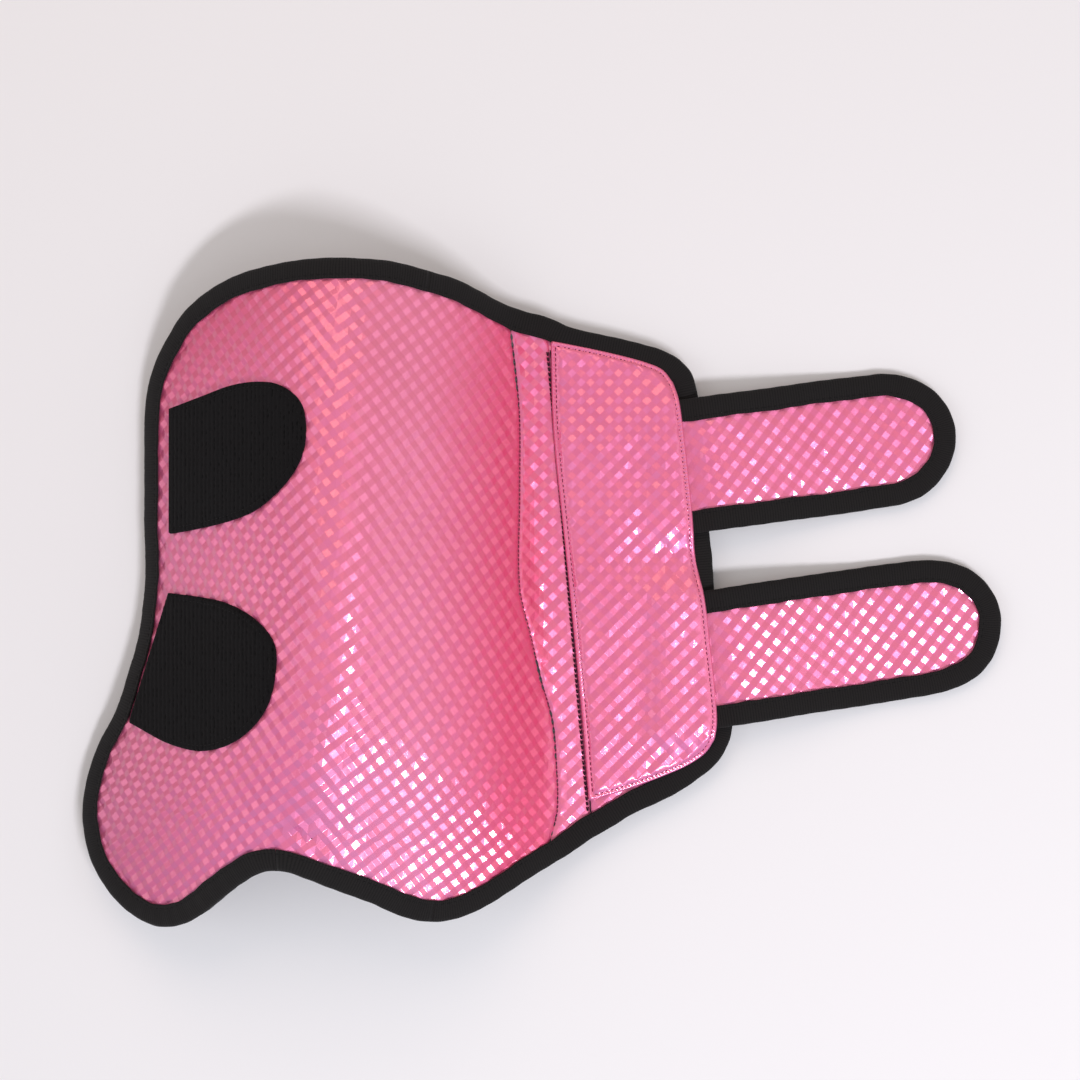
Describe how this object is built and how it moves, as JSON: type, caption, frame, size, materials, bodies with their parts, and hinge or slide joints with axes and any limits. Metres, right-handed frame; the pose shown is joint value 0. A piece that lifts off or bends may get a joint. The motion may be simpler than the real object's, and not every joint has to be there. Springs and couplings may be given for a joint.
{
  "type": "wrap-around leg guard",
  "caption": "Pre-formed padded wrap-around leg guard with a domed shell, a stitched closing flap and round-ended hook-and-loop straps.",
  "frame": {"origin": "bottom centre of the bounding box, with the guard lying outer face up", "axes": "+X from the wing edge towards the strap ends, +Z away from the table through the outer face, +Y towards the upper opening"},
  "size_m": [0.3517, 0.2454, 0.0629],
  "materials": {
    "embossed_skin": "embossed pearl gloss",
    "foam": "closed-cell foam",
    "lining": "knit laminate",
    "binding_tape": "woven tape",
    "loop_tape": "brushed loop",
    "hook_tape": "moulded hooks",
    "strap_stiffener": "dense foam sheet",
    "dark_thread": "twisted thread",
    "pad_thread": "twisted thread"
  },
  "bodies": {
    "shell": {"shell_outer": "embossed_skin", "shell_foam": "foam", "shell_lining": "lining", "shell_binding": "binding_tape", "shell_binding_stitching": "dark_thread"},
    "wing": {"wing_outer": "embossed_skin", "wing_foam": "foam", "wing_lining": "lining", "wing_binding": "binding_tape", "wing_binding_stitching": "dark_thread", "upper_loop_patch": "loop_tape", "lower_loop_patch": "loop_tape", "patch_stitching": "dark_thread"},
    "flap": {"flap_outer": "embossed_skin", "seam_strip": "embossed_skin", "flap_foam": "foam", "flap_lining": "lining", "flap_binding": "binding_tape", "flap_binding_stitching": "dark_thread", "strip_stitching": "dark_thread", "pad_cover": "embossed_skin", "pad_foam": "foam", "pad_stitching": "pad_thread", "upper_strap_root": "embossed_skin", "lower_strap_root": "embossed_skin"},
    "upper_strap": {"upper_strap_face": "embossed_skin", "upper_strap_core": "strap_stiffener", "upper_strap_lining": "lining", "upper_hook_tape": "hook_tape", "upper_strap_binding": "binding_tape", "upper_strap_stitching": "dark_thread"},
    "lower_strap": {"lower_strap_face": "embossed_skin", "lower_strap_core": "strap_stiffener", "lower_strap_lining": "lining", "lower_hook_tape": "hook_tape", "lower_strap_binding": "binding_tape", "lower_strap_stitching": "dark_thread"}
  },
  "joints": [
    {"name": "wing_fold", "type": "hinge", "parent": "shell", "child": "wing", "pos_m": [-0.07881, 0.01125, 0.04119], "axis": [-0.0621, -0.9972, 0.0426], "range_deg": [-10, 28], "stiffness_Nm_per_rad": 2},
    {"name": "flap_fold", "type": "hinge", "parent": "shell", "child": "flap", "pos_m": [-0.00486, 0.00561, 0.00481], "axis": [-0.0949, 0.9955, 0.0005], "range_deg": [-15, 112], "stiffness_Nm_per_rad": 0.6},
    {"name": "upper_strap_fold", "type": "hinge", "parent": "flap", "child": "upper_strap", "pos_m": [0.06356, 0.04995, 0.00889], "axis": [-0.0855, 0.9963, 0], "range_deg": [-90, 70], "stiffness_Nm_per_rad": 0.12},
    {"name": "lower_strap_fold", "type": "hinge", "parent": "flap", "child": "lower_strap", "pos_m": [0.07119, -0.02345, 0.00889], "axis": [-0.1335, 0.991, 0], "range_deg": [-90, 70], "stiffness_Nm_per_rad": 0.12}
  ]
}
